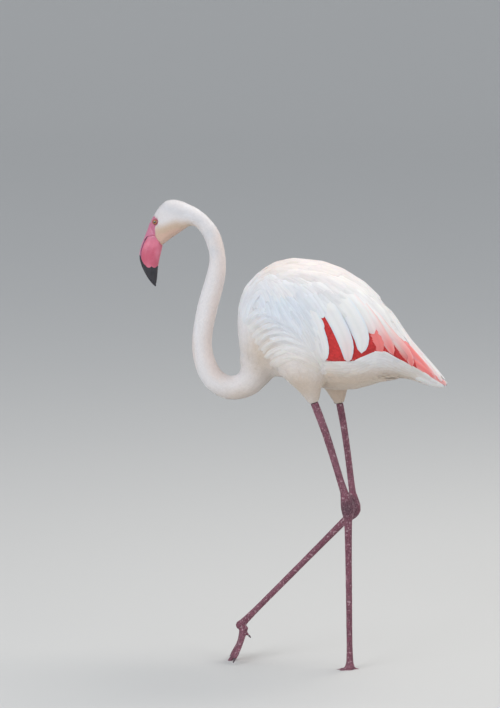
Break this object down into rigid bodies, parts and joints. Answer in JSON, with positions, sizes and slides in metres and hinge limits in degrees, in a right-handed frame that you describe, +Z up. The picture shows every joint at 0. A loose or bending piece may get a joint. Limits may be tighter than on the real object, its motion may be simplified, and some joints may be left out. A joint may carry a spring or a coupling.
{
  "type": "flamingo figure",
  "caption": "Life-size still model of a greater flamingo in mid-stride: curved neck, bent bill, folded wings, one leg planted and one foot just landing.",
  "frame": {"origin": "middle of the bird's bounding box in plan, at the level of the soles", "axes": "+Z up along the height, -X the way the bird faces, -Y its left side"},
  "size_m": [0.5608, 0.194, 0.8762],
  "materials": {
    "plumage": "soft white to pale pink feathers",
    "coverts": "long pinkish-white plumes over crimson coverts",
    "bill": "rose-pink horn with a black tip, satin",
    "leg": "scaled mauve-brown skin",
    "claw": "dark horn",
    "eye": "wet, amber iris round a dark pupil"
  },
  "bodies": {
    "root": {"trunk": "plumage", "tail": "plumage", "neck_1": "plumage", "neck_2": "plumage", "neck_3": "plumage", "neck_4": "plumage", "neck_5": "plumage", "head": "plumage", "bill_upper": "bill", "bill_lower": "bill", "left_wing": "coverts", "left_thigh": "plumage", "left_shank": "leg", "left_ankle": "leg", "left_tarsus": "leg", "left_foot": "leg", "left_eye": "eye", "left_claw_inner": "claw", "left_claw_middle": "claw", "left_claw_outer": "claw", "left_claw_hallux": "claw", "right_wing": "coverts", "right_thigh": "plumage", "right_shank": "leg", "right_ankle": "leg", "right_tarsus": "leg", "right_foot": "leg", "right_eye": "eye", "right_claw_inner": "claw", "right_claw_middle": "claw", "right_claw_outer": "claw", "right_claw_hallux": "claw"}
  },
  "joints": []
}
